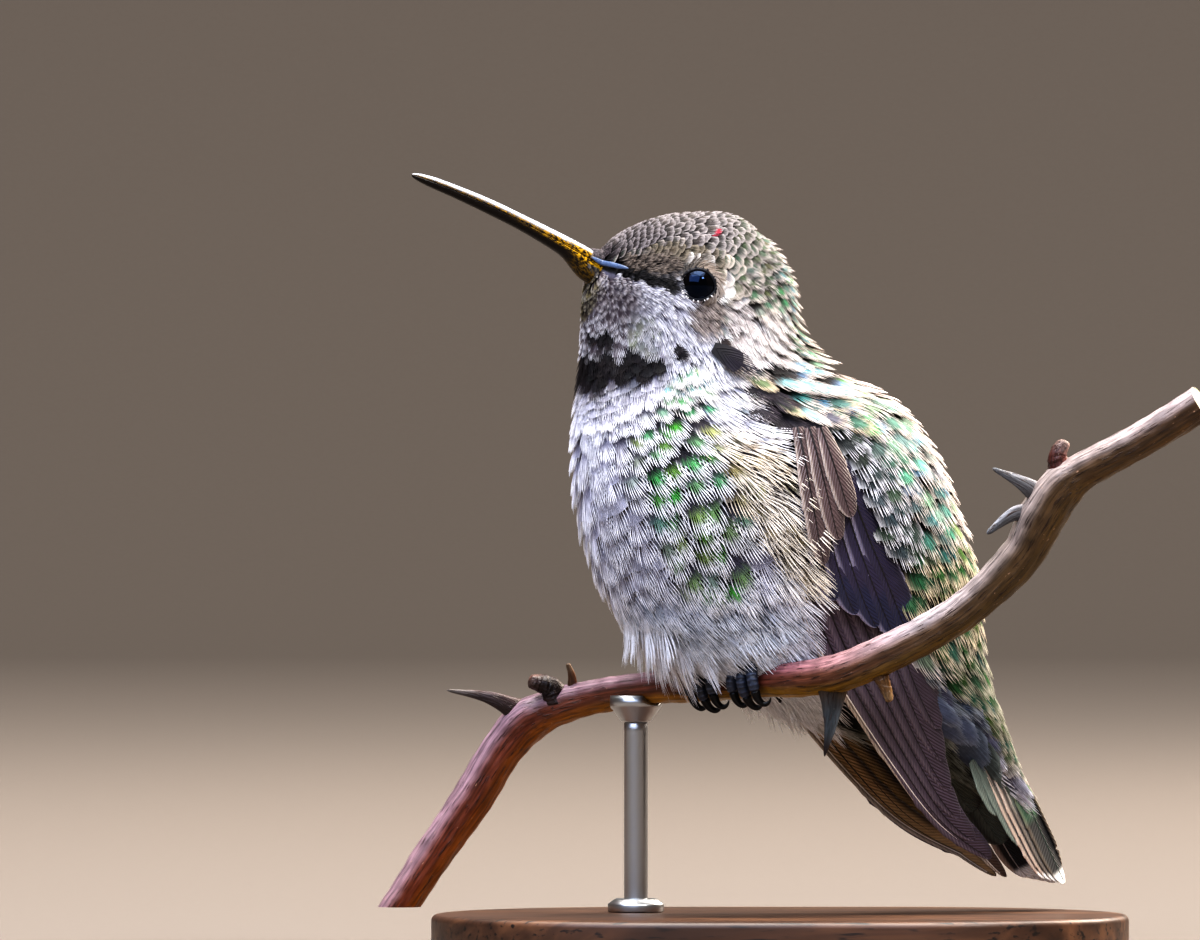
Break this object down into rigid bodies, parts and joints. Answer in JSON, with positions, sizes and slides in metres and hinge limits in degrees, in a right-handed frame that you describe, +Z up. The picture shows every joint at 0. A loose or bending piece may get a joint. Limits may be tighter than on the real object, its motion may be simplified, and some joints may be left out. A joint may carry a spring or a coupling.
{
  "type": "hummingbird",
  "caption": "Life-size perched hummingbird with a long slender bill and folded wings, gripping a cut thorny twig held by a flat display stand with a short rod.",
  "frame": {"origin": "centre of the stand base's underside, on the floor", "axes": "+Z up; the bird faces -X with its breast turned 20 degrees towards -Y; +Y is behind the bird's left side"},
  "size_m": [0.0758, 0.0466, 0.0719],
  "materials": {
    "feathers_head": "soft grey-brown feathers with pale edges and a green gloss",
    "feathers_neck": "soft pale grey feathers",
    "feathers_breast": "soft off-white feathers with green discs",
    "feathers_belly": "soft off-white fluffy feathers",
    "feathers_undertail": "soft white fluff",
    "feathers_back": "soft glossy green feathers with buff edges",
    "feathers_rump": "soft glossy green feathers with buff edges",
    "feathers_uppertail": "soft glossy green feathers",
    "bill": "glossy black horn",
    "eye": "wet black",
    "tail_feathers": "smooth grey and black feathers with white tips",
    "primaries": "smooth dusky brown feathers",
    "secondaries": "smooth dusky blue-black feathers",
    "wing_coverts": "smooth brown-grey feathers",
    "scaled_skin": "dull blue-grey scaled skin",
    "claw": "glossy black horn",
    "bark": "satin bark, mauve above and olive below",
    "thorn": "dry grey thorns and buds",
    "stand_wood": "satin varnished hardwood",
    "stand_steel": "satin steel"
  },
  "bodies": {
    "root": {"head": "feathers_head", "neck": "feathers_neck", "breast": "feathers_breast", "belly": "feathers_belly", "undertail_coverts": "feathers_undertail", "back": "feathers_back", "rump": "feathers_rump", "uppertail_coverts": "feathers_uppertail", "bill_upper": "bill", "bill_lower": "bill", "eye_left": "eye", "eye_right": "eye", "tail_left": "tail_feathers", "tail_right": "tail_feathers", "wing_left_primaries": "primaries", "wing_right_primaries": "primaries", "wing_left_secondaries": "secondaries", "wing_right_secondaries": "secondaries", "wing_left_coverts": "wing_coverts", "wing_right_coverts": "wing_coverts", "foot_left": "scaled_skin", "foot_right": "scaled_skin", "leg_left": "scaled_skin", "leg_right": "scaled_skin", "claw_left_inner": "claw", "claw_left_middle": "claw", "claw_left_outer": "claw", "claw_left_hind": "claw", "claw_right_inner": "claw", "claw_right_middle": "claw", "claw_right_outer": "claw", "claw_right_hind": "claw", "perch_twig": "bark", "perch_thorn_left": "thorn", "perch_bud_left": "thorn", "perch_scale_left": "thorn", "perch_thorn_under": "thorn", "perch_bud_under": "thorn", "perch_thorn_right": "thorn", "perch_spur_right": "thorn", "perch_bud_right": "thorn", "stand_base": "stand_wood", "stand_rod": "stand_steel", "stand_collar": "stand_steel", "stand_saddle": "stand_steel"}
  },
  "joints": []
}
